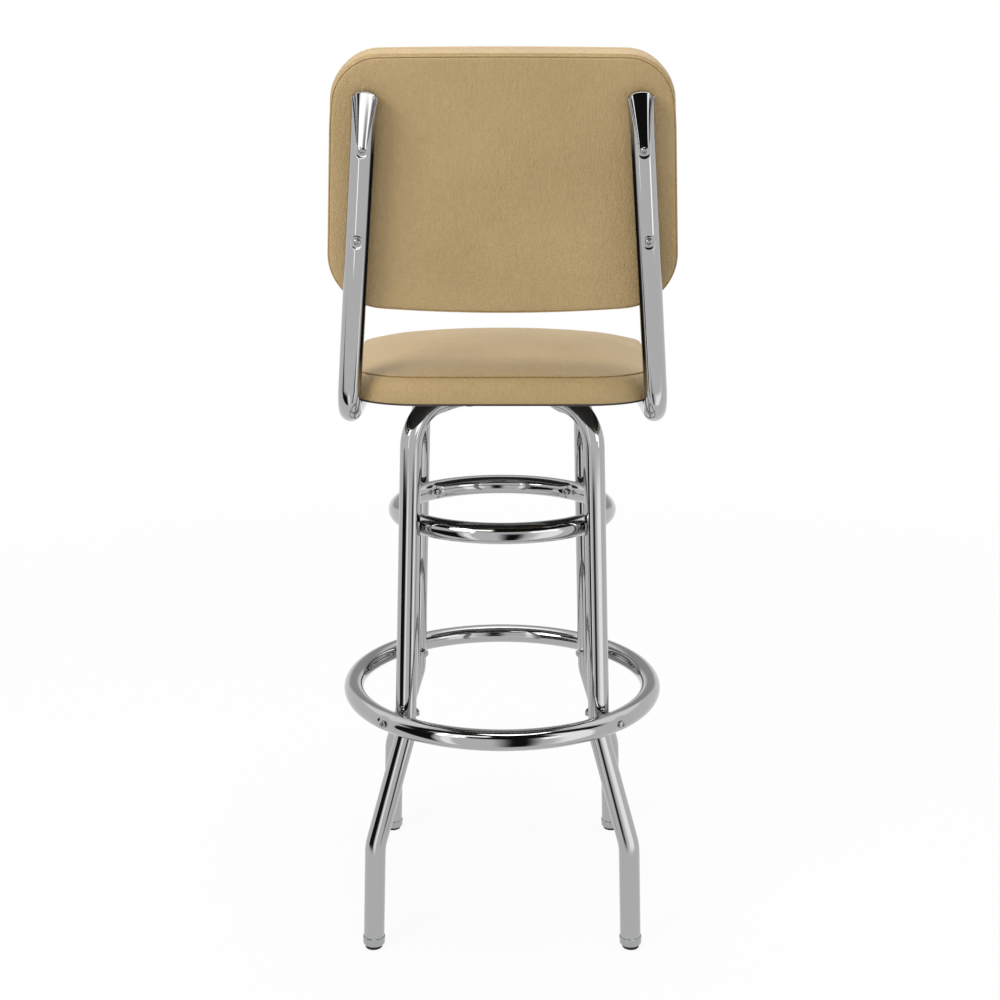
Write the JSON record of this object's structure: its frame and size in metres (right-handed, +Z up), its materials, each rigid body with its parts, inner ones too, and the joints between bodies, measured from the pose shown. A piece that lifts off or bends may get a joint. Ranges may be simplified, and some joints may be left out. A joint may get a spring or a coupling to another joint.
{
  "type": "bar stool",
  "caption": "Swivel bar stool: crossed chrome tube legs with an upper ring and a foot ring, a ball-race swivel, and a padded vinyl seat with a reclined padded back on bent tube posts.",
  "frame": {"origin": "on the floor under the swivel axis, the centre of the four feet's circle", "axes": "+Z up, the sitter faces -Y, +X to the sitter's left"},
  "size_m": [0.4094, 0.4878, 1.0577],
  "materials": {
    "chrome_tube": "polished chrome plate",
    "chrome_fastener": "chrome plate",
    "zinc_steel": "zinc plate",
    "ball_steel": "polished",
    "black_rubber": "matte",
    "pale_nylon": "matte",
    "black_plastic": "matte",
    "plywood": "raw",
    "foam": "open foam",
    "tan_vinyl": "grained vinyl, satin"
  },
  "bodies": {
    "base": {"leg_frame_lower": "chrome_tube", "leg_frame_upper": "chrome_tube", "upper_ring": "chrome_tube", "foot_ring": "chrome_tube", "upper_ring_screws": "chrome_fastener", "foot_ring_screws": "chrome_fastener", "foot_ring_nuts": "chrome_fastener", "glide_caps": "black_rubber", "glide_pads": "pale_nylon", "swivel_lower_plate": "zinc_steel", "swivel_rivet": "zinc_steel", "frame_bolts": "zinc_steel", "frame_nuts": "zinc_steel", "plate_sleeves": "zinc_steel"},
    "ball_race": {"ball_cage": "zinc_steel", "swivel_balls": "ball_steel"},
    "seat": {"swivel_upper_plate": "zinc_steel", "seat_plate_screws": "zinc_steel", "seat_board": "plywood", "seat_foam": "foam", "seat_top_panel": "tan_vinyl", "seat_band": "tan_vinyl", "back_post_left": "chrome_tube", "back_post_right": "chrome_tube", "post_bolts": "chrome_fastener", "post_tee_nuts": "zinc_steel", "post_plugs": "black_plastic", "back_board": "plywood", "back_foam": "foam", "back_cover": "tan_vinyl", "back_rear_panel": "tan_vinyl", "back_screws": "chrome_fastener", "back_tee_nuts": "zinc_steel"}
  },
  "joints": [
    {"name": "seat_swivel", "type": "hinge", "parent": "base", "child": "seat", "pos_m": [0, 0, 0.68], "axis": [0, 0, 1], "continuous": true},
    {"name": "ball_race_spin", "type": "hinge", "parent": "base", "child": "ball_race", "pos_m": [0, 0, 0.68], "axis": [0, 0, 1], "continuous": true}
  ],
  "couplings": [
    {"joint": "ball_race_spin", "follows": "seat_swivel", "ratio": 0.5}
  ]
}
